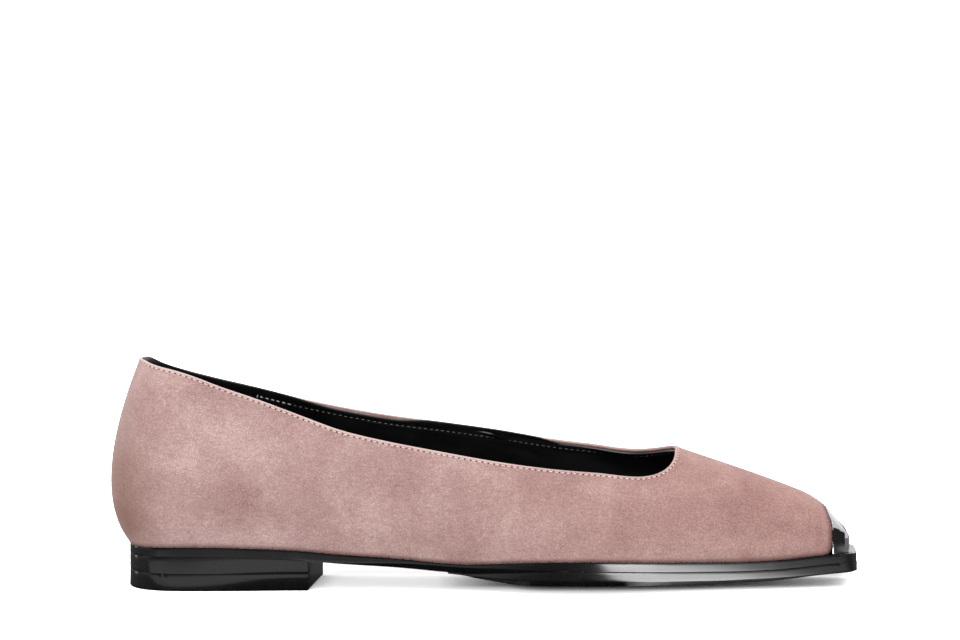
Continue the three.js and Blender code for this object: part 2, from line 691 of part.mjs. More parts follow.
// The origin lies on the floor, in the middle of the shoe's box.
const box = new THREE.Box3().setFromObject(shoe);
shoe.position.set(-(box.min.x + box.max.x) / 2, -(box.min.y + box.max.y) / 2, -box.min.z);
shoe.updateMatrixWorld(true);

export default shoe;
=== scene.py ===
# Looks of the square-toed flat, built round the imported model. Metres, in the model's own frame:
# X runs to the toe, Y to the inner side of the foot and Z up from the floor.

import json
import math
import bpy
import numpy as np
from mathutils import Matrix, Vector
from mathutils.bvhtree import BVHTree

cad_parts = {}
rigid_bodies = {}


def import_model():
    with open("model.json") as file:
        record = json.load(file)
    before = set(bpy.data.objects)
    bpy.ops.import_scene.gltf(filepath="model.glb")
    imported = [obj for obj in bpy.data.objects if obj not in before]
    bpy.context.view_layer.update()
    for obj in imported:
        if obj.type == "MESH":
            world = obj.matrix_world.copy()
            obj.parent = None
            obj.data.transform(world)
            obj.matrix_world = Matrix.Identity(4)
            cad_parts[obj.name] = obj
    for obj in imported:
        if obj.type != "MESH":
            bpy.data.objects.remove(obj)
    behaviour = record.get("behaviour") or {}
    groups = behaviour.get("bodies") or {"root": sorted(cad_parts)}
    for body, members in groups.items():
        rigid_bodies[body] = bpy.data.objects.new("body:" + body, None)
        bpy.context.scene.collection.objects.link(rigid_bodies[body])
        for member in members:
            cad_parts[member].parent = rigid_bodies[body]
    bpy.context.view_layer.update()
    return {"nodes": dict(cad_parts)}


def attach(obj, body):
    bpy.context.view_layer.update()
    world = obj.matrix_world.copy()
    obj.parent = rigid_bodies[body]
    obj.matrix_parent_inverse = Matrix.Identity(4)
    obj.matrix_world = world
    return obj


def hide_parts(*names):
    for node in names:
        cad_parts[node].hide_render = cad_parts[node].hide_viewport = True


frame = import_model()

mm = 0.001

# ---- helpers for meshes


def deselectAll():
    if bpy.context.mode != "OBJECT":
        bpy.ops.object.mode_set(mode="OBJECT")
    bpy.ops.object.select_all(action="DESELECT")


def activate(piece):
    deselectAll()
    piece.select_set(True)
    bpy.context.view_layer.objects.active = piece


def applyModifier(piece, kind, **settings):
    activate(piece)
    modifier = piece.modifiers.new(kind.lower(), kind)
    for key, value in settings.items():
        setattr(modifier, key, value)
    bpy.ops.object.modifier_apply(modifier=modifier.name)


def thicken(piece, thickness, offset):
    applyModifier(piece, "SOLIDIFY", thickness=thickness, offset=offset, use_even_offset=True)


def copyNode(nodeName, name):
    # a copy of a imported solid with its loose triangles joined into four-sided faces again
    piece = bpy.data.objects.new(name, frame["nodes"][nodeName].data.copy())
    bpy.context.collection.objects.link(piece)
    activate(piece)
    bpy.ops.object.mode_set(mode="EDIT")
    bpy.ops.mesh.select_all(action="SELECT")
    bpy.ops.mesh.remove_doubles(threshold=2e-6)
    bpy.ops.mesh.mark_sharp(clear=True)
    bpy.ops.mesh.tris_convert_to_quads(face_threshold=math.radians(30), shape_threshold=math.radians(60))
    bpy.ops.mesh.select_all(action="DESELECT")
    bpy.ops.object.mode_set(mode="OBJECT")
    bpy.ops.mesh.customdata_custom_splitnormals_clear()
    piece.data.materials.clear()
    return piece


def selectFaces(piece, test):
    activate(piece)
    bpy.ops.object.mode_set(mode="EDIT")
    bpy.ops.mesh.select_mode(type="FACE")
    bpy.ops.mesh.select_all(action="DESELECT")
    bpy.ops.object.mode_set(mode="OBJECT")
    for face in piece.data.polygons:
        face.select = test(face)
    bpy.ops.object.mode_set(mode="EDIT")


def keepSheet(piece, seed, facing, fold=42):
    # keeps the faces round the seed that hang together without a fold sharper than this
    activate(piece)
    bpy.ops.object.mode_set(mode="EDIT")
    bpy.ops.mesh.select_mode(type="EDGE")
    bpy.ops.mesh.select_all(action="DESELECT")
    bpy.ops.mesh.edges_select_sharp(sharpness=math.radians(fold))
    bpy.ops.mesh.mark_seam()
    bpy.ops.object.mode_set(mode="OBJECT")
    facing = Vector(facing)
    near = [f for f in piece.data.polygons if f.normal.dot(facing) > 0.6]
    start = min(near, key=lambda f: (f.center - Vector(seed)).length).index
    selectFaces(piece, lambda f: f.index == start)
    bpy.ops.mesh.select_linked(delimit={"SEAM"})
    bpy.ops.mesh.select_all(action="INVERT")
    bpy.ops.mesh.delete(type="FACE")
    bpy.ops.mesh.select_mode(type="EDGE")
    bpy.ops.mesh.select_all(action="SELECT")
    bpy.ops.mesh.mark_seam(clear=True)
    bpy.ops.object.mode_set(mode="OBJECT")


def vertexArray(piece):
    flat = np.zeros(len(piece.data.vertices) * 3)
    piece.data.vertices.foreach_get("co", flat)
    return flat.reshape(-1, 3)


def setVertices(piece, points):
    piece.data.vertices.foreach_set("co", np.ascontiguousarray(points).reshape(-1))
    piece.data.update()


def surfaceOf(piece):
    points = [v.co.copy() for v in piece.data.vertices]
    return BVHTree.FromPolygons(points, [tuple(f.vertices) for f in piece.data.polygons])


def openRings(piece):
    # the rings of open edges, each as ordered points
    uses = {}
    for face in piece.data.polygons:
        for key in face.edge_keys:
            uses[key] = uses.get(key, 0) + 1
    links = {}
    for (a, b), count in uses.items():
        if count == 1:
            links.setdefault(a, []).append(b)
            links.setdefault(b, []).append(a)
    rings = []
    left = set(links)
    while left:
        ring = [min(left)]
        left.discard(ring[0])
        while True:
            onward = [n for n in links[ring[-1]] if n in left]
            if not onward:
                break
            ring.append(onward[0])
            left.discard(onward[0])
        rings.append(np.array([piece.data.vertices[i].co[:] for i in ring]))
    return rings


def evenRing(points, count):
    closed = np.vstack([points, points[:1]])
    length = np.concatenate([[0], np.cumsum(np.linalg.norm(np.diff(closed, axis=0), axis=1))])
    places = np.linspace(0, length[-1], count, endpoint=False)
    return np.stack([np.interp(places, length, closed[:, k]) for k in range(3)], axis=1)


def smoothRing(values, reach):
    total = sum(np.roll(values, shift, axis=0) for shift in range(-reach, reach + 1))
    return total / (2 * reach + 1)


def unit(values):
    return values / np.linalg.norm(values, axis=-1, keepdims=True)


def addMesh(name, points, faces):
    mesh = bpy.data.meshes.new(name)
    mesh.from_pydata([tuple(p) for p in points], [], faces)
    mesh.update()
    piece = bpy.data.objects.new(name, mesh)
    bpy.context.collection.objects.link(piece)
    return piece


def bump(value, centre, reach):
    # 1 at the centre, 0 from the reach on, smooth between
    share = np.clip(1 - np.abs(np.asarray(value) - centre) / reach, 0, 1)
    return share * share * (3 - 2 * share)


def step(value, start, end):
    share = np.clip((np.asarray(value) - start) / (end - start), 0, 1)
    return share * share * (3 - 2 * share)


# ---- helpers for materials


def addNode(tree, kind, inputs=None, **settings):
    item = tree.nodes.new(kind)
    for key, value in settings.items():
        setattr(item, key, value)
    for key, value in (inputs or {}).items():
        if isinstance(value, bpy.types.NodeSocket):
            tree.links.new(value, item.inputs[key])
        else:
            item.inputs[key].default_value = value
    return item


def newMaterial(name, **constants):
    material = bpy.data.materials.new(name)
    material.use_nodes = True
    shader = material.node_tree.nodes["Principled BSDF"]
    for key, value in constants.items():
        shader.inputs[key.replace("_", " ")].default_value = value
    return material, material.node_tree, shader


def colour(red, green, blue):
    # an ordinary 0 to 255 colour as Blender's linear values
    linear = [c / 255 / 12.92 if c <= 10 else ((c / 255 + 0.055) / 1.055) ** 2.4 for c in (red, green, blue)]
    return (*linear, 1)


def newGroup(name, inputs, outputs):
    group = bpy.data.node_groups.new(name, "ShaderNodeTree")
    for label, kind, value in inputs:
        socket = group.interface.new_socket(name=label, in_out="INPUT", socket_type=kind)
        socket.default_value = value
    for label, kind in outputs:
        group.interface.new_socket(name=label, in_out="OUTPUT", socket_type=kind)
    start = group.nodes.new("NodeGroupInput")
    end = group.nodes.new("NodeGroupOutput")
    return group, start, end


def placeGroup(tree, group, inputs=None):
    return addNode(tree, "ShaderNodeGroup", inputs, node_tree=group)


def doMath(tree, operation, *values):
    return addNode(tree, "ShaderNodeMath", dict(enumerate(values)), operation=operation).outputs[0]


def remap(tree, value, start=0.0, end=1.0, low=0.0, high=1.0, soft=False):
    item = addNode(tree, "ShaderNodeMapRange", {
        "Value": value, "From Min": start, "From Max": end, "To Min": low, "To Max": high},
        interpolation_type="SMOOTHSTEP" if soft else "LINEAR")
    return item.outputs[0]


def mixShaders(tree, factor, first, second):
    return addNode(tree, "ShaderNodeMixShader", {0: factor, 1: first, 2: second}).outputs[0]


def mixColours(tree, factor, first, second, blend="MIX"):
    item = addNode(tree, "ShaderNodeMix", {0: factor, 6: first, 7: second}, data_type="RGBA",
                   blend_type=blend)
    return item.outputs[2]


def paintBase(tree, shader, factor, first, second):
    tree.links.new(mixColours(tree, factor, first, second), shader.inputs["Base Color"])


def varyRoughness(tree, shader, value, low, high):
    tree.links.new(remap(tree, value, low=low, high=high), shader.inputs["Roughness"])


def addRelief(tree, shader, height, strength, distance, invert=False):
    relief = addNode(tree, "ShaderNodeBump", {"Height": height, "Strength": strength, "Distance": distance},
                     invert=invert)
    tree.links.new(relief.outputs[0], shader.inputs["Normal"])


def addWeighed(tree, value, weight, rest):
    # the value times its weight, on top of the rest
    return doMath(tree, "MULTIPLY_ADD", value, weight, rest)


def objectPlace(tree):
    return addNode(tree, "ShaderNodeTexCoord").outputs["Object"]


def objectAxes(tree):
    return addNode(tree, "ShaderNodeSeparateXYZ", {0: objectPlace(tree)}).outputs


def stretchedNoise(tree, scale, detail):
    drawn = addNode(tree, "ShaderNodeMapping", {"Vector": objectPlace(tree), "Scale": scale})
    noise = addNode(tree, "ShaderNodeTexNoise", {"Vector": drawn.outputs[0], "Scale": 1.0, "Detail": detail})
    return noise.outputs["Fac"]


# ---- camera

cameraSettings = {"place": (-0.0010808, -2.2002893, 0.274766), "pitch": 4.690, "lens": 232.25, "sensor": 36}

cameraData = bpy.data.cameras.new("photoCamera")
cameraData.lens = cameraSettings["lens"]
cameraData.sensor_width = cameraSettings["sensor"]
camera = bpy.data.objects.new("photoCamera", cameraData)
bpy.context.collection.objects.link(camera)
camera.location = cameraSettings["place"]
camera.rotation_euler = (math.radians(90 - cameraSettings["pitch"]), 0, 0)
bpy.context.scene.camera = camera
print("camera placed")

# ---- shared effects


def makeCloudsGroup():
    # soft clouds, smaller patches and fine specks, for anything that is brushed, worn or hand finished
    group, start, end = newGroup(
        "cloudsAndSpecks",
        [("Cloud Scale", "NodeSocketFloat", 40), ("Speck Scale", "NodeSocketFloat", 900)],
        [("Clouds", "NodeSocketFloat"), ("Patches", "NodeSocketFloat"), ("Specks", "NodeSocketFloat")],
    )
    place = objectPlace(group)
    patchScale = doMath(group, "MULTIPLY", start.outputs["Cloud Scale"], 4.3)
    layers = [
        ("Clouds", start.outputs["Cloud Scale"], {"Detail": 3.0, "Roughness": 0.5, "Distortion": 0.4}),
        ("Patches", patchScale, {"Detail": 4.0, "Roughness": 0.6, "Distortion": 0.6}),
        ("Specks", start.outputs["Speck Scale"], {"Detail": 2.0, "Roughness": 0.65}),
    ]
    for label, scale, settings in layers:
        noise = addNode(group, "ShaderNodeTexNoise", {"Vector": place, "Scale": scale, **settings})
        group.links.new(remap(group, noise.outputs["Fac"], 0.3, 0.7), end.inputs[label])
    return group


def makeGrainGroup():
    # leather grain: small cells with soft creases between them
    group, start, end = newGroup("leatherGrain", [("Cell Scale", "NodeSocketFloat", 900)],
                                 [("Height", "NodeSocketFloat")])
    place = objectPlace(group)
    wander = addNode(group, "ShaderNodeTexNoise", {"Vector": place, "Scale": 260.0, "Detail": 2.0})
    shifted = addNode(group, "ShaderNodeMix", {"Factor": 0.002}, data_type="VECTOR")
    for key, value in (("A", place), ("B", wander.outputs["Color"])):
        group.links.new(value, [s for s in shifted.inputs if s.name == key and s.type == "VECTOR"][0])
    moved = [s for s in shifted.outputs if s.type == "VECTOR"][0]
    cells = addNode(group, "ShaderNodeTexVoronoi", {"Vector": moved, "Scale": start.outputs["Cell Scale"]},
                    feature="DISTANCE_TO_EDGE")
    height = remap(group, cells.outputs["Distance"], 0.0, 0.22, soft=True)
    group.links.new(height, end.inputs["Height"])
    return group


cloudsGroup = makeCloudsGroup()
grainGroup = makeGrainGroup()


def addClouds(tree, look):
    scales = {"Cloud Scale": look["cloudScale"], "Speck Scale": look["speckScale"]}
    return placeGroup(tree, cloudsGroup, scales).outputs


# ---- materials

suedeLook = {
    "dark": colour(138, 104, 101), "middle": colour(174, 143, 139), "light": colour(207, 182, 176),
    "heelShadeBrown": colour(112, 76, 60), "fringe": colour(66, 42, 41), "toeTint": (0.84, 0.75, 0.72, 1),
    "sheenTint": colour(240, 214, 208), "sheen": 0.25, "sheenRoughness": 0.45, "specular": 0.15,
    "cloudScale": 40.0, "speckScale": 1900.0, "nap": 0.00014, "napStrength": 0.5,
    "patches": 0.42, "spread": 0.25, "specks": 0.42, "strokes": 0.34, "strokeScale": (380.0, 1300.0, 1300.0),
    "rampPlaces": (0.17, 0.59, 0.97), "tintFrom": -0.05, "tintTo": 0.1, "ragged": 0.8, "fringeLeast": 0.4,
}


def makeSuede(look):
    material, tree, shader = newMaterial(
        "suedeDustyPink", Roughness=0.95, Specular_IOR_Level=look["specular"], Sheen_Weight=look["sheen"],
        Sheen_Roughness=look["sheenRoughness"], Sheen_Tint=look["sheenTint"])
    clouds = addClouds(tree, look)
    brushedNapAndHighlight, soleFringe, heelShadeAndBrownNap = (
        addNode(tree, "ShaderNodeAttribute", attribute_name=name).outputs["Fac"]
        for name in ("brushedNapAndHighlight", "soleFringe", "heelShadeAndBrownNap"))
    # clouds, patches, hand-brushed spots with the fold's painted highlight, and short strokes choose between
    # dark, middle and light
    mixed = addWeighed(tree, clouds["Patches"], look["patches"], clouds["Clouds"])
    spread = addWeighed(tree, mixed, look["spread"], brushedNapAndHighlight)
    speckled = addWeighed(tree, clouds["Specks"], look["specks"], spread)
    stroked = addWeighed(tree, stretchedNoise(tree, look["strokeScale"], 2.0), look["strokes"], speckled)
    ramp = addNode(tree, "ShaderNodeValToRGB", {"Fac": stroked})
    ramp.color_ramp.elements.new(look["rampPlaces"][1])
    shades = look["dark"], look["middle"], look["light"]
    for element, position, shade in zip(ramp.color_ramp.elements, look["rampPlaces"], shades):
        element.position = position
        element.color = shade
    # a little darker and warmer towards the toe
    toToe = remap(tree, objectAxes(tree)["X"], look["tintFrom"], look["tintTo"])
    warmed = mixColours(tree, toToe, ramp.outputs["Color"], look["toeTint"], "MULTIPLY")
    # painted shade at the back of the heel, mixed with the nap's browner tone there
    shadedAtHeel = mixColours(tree, heelShadeAndBrownNap, warmed, look["heelShadeBrown"])
    # the edge along the sole is darker, with a ragged border
    ragged = addWeighed(tree, clouds["Specks"], look["ragged"], look["fringeLeast"])
    fringe = doMath(tree, "MULTIPLY", soleFringe, ragged)
    paintBase(tree, shader, fringe, shadedAtHeel, look["fringe"])
    addRelief(tree, shader, clouds["Specks"], look["napStrength"], look["nap"])
    return material


liningLook = {
    "deep": colour(5, 5, 6), "worn": colour(13, 13, 13), "cloudScale": 60.0, "speckScale": 1300.0,
    "roughness": 0.3, "smoother": 0.05, "duller": 0.07, "coat": 0.35, "coatRoughness": 0.18,
    "cellScale": 1100.0, "grain": 0.00003, "grainStrength": 0.35,
}
sockLook = {**liningLook, "roughness": 0.42, "coat": 0.15, "cellScale": 800.0, "grain": 0.00007}


def makeLeather(name, look):
    material, tree, shader = newMaterial(name, Roughness=look["roughness"], Coat_Weight=look["coat"],
                                         Coat_Roughness=look["coatRoughness"])
    clouds = addClouds(tree, look)
    grain = placeGroup(tree, grainGroup, {"Cell Scale": look["cellScale"]})
    paintBase(tree, shader, clouds["Clouds"], look["deep"], look["worn"])
    varyRoughness(tree, shader, clouds["Clouds"], look["roughness"] - look["smoother"],
                  look["roughness"] + look["duller"])
    addRelief(tree, shader, grain.outputs["Height"], look["grainStrength"], look["grain"])
    return material


threadLook = {
    "roughness": 0.6, "sheen": 0.2, "twistScale": 1500.0, "wander": 1.5, "relief": 0.00005, "strength": 0.4,
}


def makeThread(name, light, dark):
    look = threadLook
    material, tree, shader = newMaterial(name, Roughness=look["roughness"], Sheen_Weight=look["sheen"])
    twist = addNode(tree, "ShaderNodeTexWave", {"Vector": objectPlace(tree), "Scale": look["twistScale"],
                                                "Distortion": look["wander"], "Detail": 1.0},
                    bands_direction="DIAGONAL")
    paintBase(tree, shader, twist.outputs["Fac"], light, dark)
    addRelief(tree, shader, twist.outputs["Fac"], look["strength"], look["relief"])
    return material


holeShadeLook = {
    "first": colour(70, 50, 50), "second": colour(96, 70, 68), "cloudScale": 400.0, "speckScale": 3000.0,
}


def makeHoleShade(look):
    # painted shade: dark discs where the thread goes into the suede, standing in for the shade in its holes
    material, tree, shader = newMaterial("stitchHoleShade", Roughness=0.95, Specular_IOR_Level=0.1)
    clouds = addClouds(tree, look)
    paintBase(tree, shader, clouds["Clouds"], look["first"], look["second"])
    return material


tipLook = {
    "dark": colour(196, 195, 196), "bright": colour(214, 213, 212), "roughness": (0.045, 0.11),
    "cloudScale": 150.0, "speckScale": 2600.0, "wave": 0.0001, "waveStrength": 0.1,
}


def makeTipMetal(look):
    material, tree, shader = newMaterial("polishedTip", Metallic=1.0, Roughness=0.06)
    clouds = addClouds(tree, look)
    paintBase(tree, shader, clouds["Clouds"], look["dark"], look["bright"])
    varyRoughness(tree, shader, clouds["Patches"], *look["roughness"])
    addRelief(tree, shader, clouds["Clouds"], look["waveStrength"], look["wave"])
    return material


edgeLook = {
    "dark": colour(8, 9, 11), "light": colour(13, 14, 17), "roughness": (0.2, 0.3), "coat": 0.8,
    "coatRoughness": 0.1, "cloudScale": 70.0, "speckScale": 1800.0, "lineScale": (40.0, 40.0, 900.0),
    "line": 0.00004, "lineStrength": 0.2,
}


def makeSoleEdge(look):
    material, tree, shader = newMaterial("waxedSoleEdge", Roughness=0.24, Coat_Weight=look["coat"],
                                         Coat_Roughness=look["coatRoughness"])
    clouds = addClouds(tree, look)
    paintBase(tree, shader, clouds["Clouds"], look["dark"], look["light"])
    varyRoughness(tree, shader, clouds["Clouds"], *look["roughness"])
    addRelief(tree, shader, stretchedNoise(tree, look["lineScale"], 4.0), look["lineStrength"], look["line"])
    return material


treadLook = {
    "dark": colour(26, 26, 28), "light": colour(44, 43, 43), "roughness": 0.62, "cloudScale": 45.0,
    "speckScale": 2200.0, "dotScale": 750.0, "dotWander": 0.25, "dot": 0.0002, "dotStrength": 0.6,
}


def makeTread(look):
    material, tree, shader = newMaterial("stippledTread", Roughness=look["roughness"])
    clouds = addClouds(tree, look)
    dots = addNode(tree, "ShaderNodeTexVoronoi", {"Vector": objectPlace(tree), "Scale": look["dotScale"],
                                                  "Randomness": look["dotWander"]})
    paintBase(tree, shader, clouds["Patches"], look["dark"], look["light"])
    addRelief(tree, shader, dots.outputs["Distance"], look["dotStrength"], look["dot"], invert=True)
    return material


suede = makeSuede(suedeLook)
liningLeather = makeLeather("blackLiningLeather", liningLook)
sockLeather = makeLeather("blackSockLeather", sockLook)
suedeThread = makeThread("pinkThread", colour(240, 220, 213), colour(208, 178, 171))
whiteThread = makeThread("whiteThread", colour(226, 222, 216), colour(176, 172, 167))
liningThread = makeThread("greyThread", colour(168, 166, 163), colour(96, 94, 92))
stitchHoleShade = makeHoleShade(holeShadeLook)
tipMetal = makeTipMetal(tipLook)
soleEdge = makeSoleEdge(edgeLook)
tread = makeTread(treadLook)
print("materials made")

# ---- upper: the suede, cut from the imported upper's own outer face

upperSettings = {
    "outerSeed": (-0.03, -0.035, 0.03), "innerSeed": (-0.03, -0.025, 0.03), "levels": 2,
    "suedeThickness": 1.1 * mm, "liningThickness": 0.5 * mm, "fringeHeight": 1.9 * mm,
    "brushing": 0.55, "innerBrushing": 0.35, "innerFade": (-0.005, 0.012), "darkestHeelShade": 0.7,
}

suedeUpper = copyNode("upper", "suede_upper")
keepSheet(suedeUpper, upperSettings["outerSeed"], (0, -1, 0))
applyModifier(suedeUpper, "SUBSURF", levels=upperSettings["levels"], render_levels=upperSettings["levels"])
outerSurface = surfaceOf(suedeUpper)
rings = sorted(openRings(suedeUpper), key=lambda ring: ring[:, 2].mean())
soleRing, collarRing = rings[0], rings[-1]

# soft patches where the nap was brushed, in mm: place along the shoe and height, reach along and up, and how
# much lighter or darker
brushedSpots = [
    (-92, 58, 13, 7, 0.22), (-78, 50, 9, 5, 0.26), (-98, 44, 10, 6, 0.2), (-108, 30, 7, 9, 0.12),
    (-62, 46, 12, 5, 0.12), (-90, 20, 12, 4, 0.2), (-70, 19, 14, 4, 0.18), (-40, 24, 12, 6, 0.14),
    (-10, 30, 18, 6, 0.1), (10, 36, 12, 5, -0.08), (-35, 45, 14, 6, -0.12), (-86, 33, 9, 6, -0.14),
    (-55, 32, 9, 6, -0.1), (-118, 60, 8, 10, -0.12), (-28, 18, 20, 4, -0.1), (44, 30, 14, 7, -0.12),
    (26, 24, 14, 6, 0.1), (66, 38, 14, 5, 0.14), (84, 24, 12, 5, -0.1), (98, 16, 14, 2.6, 0.24),
    (104, 30, 8, 4, 0.1), (58, 20, 10, 4, -0.08), (-104, 70, 10, 6, -0.08), (-76, 66, 12, 4, -0.1),
]


def addAttribute(piece, name, values):
    layer = piece.data.attributes.new(name, "FLOAT", "POINT")
    layer.data.foreach_set("value", np.asarray(values, np.float32))


# painted shade at the back of the heel, where less light falls, together with the nap's browner tone there:
# strength, fade backwards from and to, height, reach up and down
heelShadeAndBrownNapSpots = [(0.6, 0.11, 0.133, 0.03, 0.05), (0.3, 0.108, 0.13, 0.022, 0.012)]


def dressSuede(piece, fringe=True):
    settings = upperSettings
    points = vertexArray(piece)
    brushedNapAndHighlight = np.zeros(len(points))
    for x, z, wide, high, strength in brushedSpots:
        away = ((points[:, 0] / mm - x) / wide) ** 2 + ((points[:, 2] / mm - z) / high) ** 2
        brushedNapAndHighlight += strength * np.exp(-away)
    outerShare = step(-points[:, 1], *settings["innerFade"])
    share = settings["innerBrushing"] + (1 - settings["innerBrushing"]) * outerShare
    addAttribute(piece, "brushedNapAndHighlight", settings["brushing"] * brushedNapAndHighlight * share)
    # painted shade at the back, with the nap's browner tone
    heel = sum(strength * step(-points[:, 0], start, end) * bump(points[:, 2], height, reach)
               for strength, start, end, height, reach in heelShadeAndBrownNapSpots)
    addAttribute(piece, "heelShadeAndBrownNap", np.clip(heel, 0, settings["darkestHeelShade"]))
    tree = BVHTree.FromPolygons([Vector(p) for p in soleLine[0]], soleLine[1]) if fringe else None
    near = [tree.find_nearest(Vector(p))[3] if tree else 1 for p in points]
    addAttribute(piece, "soleFringe", 1 - step(near, 0.0, settings["fringeHeight"]))


def ribbon(ring, height):
    # a thin upright band along a ring, to measure distances from it
    count = len(ring)
    points = np.vstack([ring, ring - [0, 0, height]])
    return points, [(i, (i + 1) % count, count + (i + 1) % count, count + i) for i in range(count)]


soleLine = ribbon(soleRing, 0.0004)
dressSuede(suedeUpper)
thicken(suedeUpper, upperSettings["suedeThickness"], -1)
print("suede cut:", len(suedeUpper.data.polygons), "faces")

liningInner = copyNode("upper", "lining")
keepSheet(liningInner, upperSettings["innerSeed"], (0, 1, 0))
applyModifier(liningInner, "SUBSURF", levels=upperSettings["levels"], render_levels=upperSettings["levels"])
innerSurface = surfaceOf(liningInner)

# ---- collar: bands that roll over the upper's edge, and the stitches along them

collarSettings = {
    "pitch": 2.1 * mm, "perStitch": 4, "evening": 2, "smoothing": 6, "bend": 1.5 * mm,
    "puckerReach": 0.9 * mm, "liftReach": 1.2 * mm,
}
perimeter = np.linalg.norm(np.diff(np.vstack([collarRing, collarRing[:1]]), axis=0), axis=1).sum()
stitchCount = round(perimeter / collarSettings["pitch"])
ringCount = stitchCount * collarSettings["perStitch"]


def collarFrame(ring, surface):
    # along, outward and downward directions at even places of the collar
    places = smoothRing(evenRing(ring, ringCount), collarSettings["evening"])
    along = unit(np.roll(places, -1, axis=0) - np.roll(places, 1, axis=0))
    outward = np.array([surface.find_nearest(Vector(p))[1][:] for p in places])
    outward = unit(smoothRing(outward, collarSettings["smoothing"]))
    down = unit(np.cross(outward, along))
    if down[:, 2].mean() > 0:
        down = -down
    return places, along, outward, down


def surfacePoint(collar, surface, index, low, out):
    # a point this far below the collar's edge, along the surface, and this far out of it
    places, _, outward, down = collar
    point = Vector(places[index] + down[index] * low)
    normal = Vector(outward[index])
    if low > 0:
        point, found = surface.find_nearest(point)[:2]
        share = min(low / collarSettings["bend"], 1)
        normal = (normal * (1 - share) + found * share).normalized()
    return np.array(point + normal * out)


def spline(rows, fine):
    # a smooth line through the rows of a profile
    rows = np.array(rows, float)
    padded = np.vstack([2 * rows[0] - rows[1], rows, 2 * rows[-1] - rows[-2]])
    result = []
    for i in range(1, len(padded) - 2):
        a, b, c, d = padded[i - 1:i + 3]
        for t in np.arange(fine) / fine:
            result.append(0.5 * (2 * b + (c - a) * t + (2 * a - 5 * b + 4 * c - d) * t * t
                                 + (3 * b - a - 3 * c + d) * t ** 3))
    result.append(rows[-1])
    return np.array(result)


def noLift(x, y):
    return 0.0


def rollBand(name, collar, surface, profile, pucker, sewn, lift=noLift):
    # a band with this profile all round the collar, pulled in a little at every stitch
    places = collar[0]
    turn = 2 * math.pi / collarSettings["perStitch"]
    rows = spline(profile, 2) * mm
    count = len(rows)
    points = []
    for index in range(ringCount):
        wave = 0.5 + 0.5 * math.cos(turn * (index % collarSettings["perStitch"]))
        rise = lift(places[index][0], places[index][1])
        for low, out in rows:
            puffed = out - pucker * wave * bump(low, sewn, collarSettings["puckerReach"])
            raised = low - rise * step(-low, -collarSettings["liftReach"], 0)
            points.append(surfacePoint(collar, surface, index, raised, puffed))
    faces = []
    for i in range(ringCount):
        after = (i + 1) % ringCount
        for j in range(count - 1):
            faces.append((i * count + j, after * count + j, after * count + j + 1, i * count + j + 1))
    return addMesh(name, points, faces)


def makeTemplate(halfSizes, segments=10, rings=6):
    # one stitch, or one dark disc of painted shade where a stitch goes in, modelled once at the origin
    deselectAll()
    bpy.ops.mesh.primitive_uv_sphere_add(segments=segments, ring_count=rings, radius=1,
                                         rotation=(0, math.pi / 2, 0))
    shape = bpy.context.object
    bpy.ops.object.mode_set(mode="EDIT")
    bpy.ops.mesh.select_all(action="SELECT")
    bpy.ops.transform.resize(value=halfSizes)
    bpy.ops.object.mode_set(mode="OBJECT")
    bpy.ops.object.transform_apply(location=True, rotation=True, scale=True)
    return shape


def placeCopies(name, template, frames):
    # copies of a small mesh, each turned to its own axes, joined as one piece
    local = vertexArray(template)
    faces = [tuple(f.vertices) for f in template.data.polygons]
    points, allFaces = [], []
    for place, xAxis, zAxis in frames:
        zAxis = unit(zAxis - xAxis * np.dot(zAxis, xAxis))
        yAxis = np.cross(zAxis, xAxis)
        start = len(points)
        points.extend(place + local @ np.stack([xAxis, yAxis, zAxis]))
        allFaces.extend(tuple(start + k for k in face) for face in faces)
    bpy.data.objects.remove(template)
    return addMesh(name, points, allFaces)


outerCollar = collarFrame(collarRing, outerSurface)
foldSettings = {"pucker": 0.05 * mm, "sewnAt": 0.88 * mm, "paintedFoldHighlight": 0.42, "paintedFoldHighlightFade": (-0.7, -0.2)}
# mm below the collar's edge and mm out of the suede, from the outside over the edge to the inside
foldProfile = [
    (2.7, -0.16), (2.2, 0.0), (1.7, 0.05), (1.3, 0.04), (1.08, 0.0), (0.88, -0.06), (0.68, 0.01), (0.4, 0.12),
    (0.1, 0.12), (-0.16, -0.08), (-0.26, -0.4), (-0.22, -0.75), (-0.02, -1.02), (0.5, -1.12), (1.6, -1.12),
]
collarFold = rollBand("collar_fold", outerCollar, outerSurface, foldProfile, foldSettings["pucker"],
                      foldSettings["sewnAt"])
dressSuede(collarFold, fringe=False)

# the fold's top edge is made lighter: a painted highlight where the fold catches the light
paintedFoldHighlight = foldSettings["paintedFoldHighlight"] * step(-spline(foldProfile, 2)[:, 0], *foldSettings["paintedFoldHighlightFade"])
layer = collarFold.data.attributes["brushedNapAndHighlight"]
before = np.array([item.value for item in layer.data])
layer.data.foreach_set("value", (before + np.tile(paintedFoldHighlight, ringCount)).astype(np.float32))

stitchSettings = {
    "low": foldSettings["sewnAt"], "out": 0.05 * mm, "halfSizes": (0.725 * mm, 0.2 * mm, 0.16 * mm),
    "holeShade": (0.34 * mm, 0.26 * mm, 0.07 * mm),
}
_, outerAlong, outerOutward, _ = outerCollar
stitchFrames, holeFrames = [], []
for index in range(0, ringCount, collarSettings["perStitch"]):
    middle = (index + 2) % ringCount
    place = surfacePoint(outerCollar, outerSurface, middle, stitchSettings["low"], stitchSettings["out"])
    stitchFrames.append((place, outerAlong[middle], outerOutward[middle]))
    place = surfacePoint(outerCollar, outerSurface, index, stitchSettings["low"], 0.0)
    holeFrames.append((place, outerAlong[index], outerOutward[index]))
collarStitches = placeCopies("collar_stitches", makeTemplate(stitchSettings["halfSizes"]), stitchFrames)
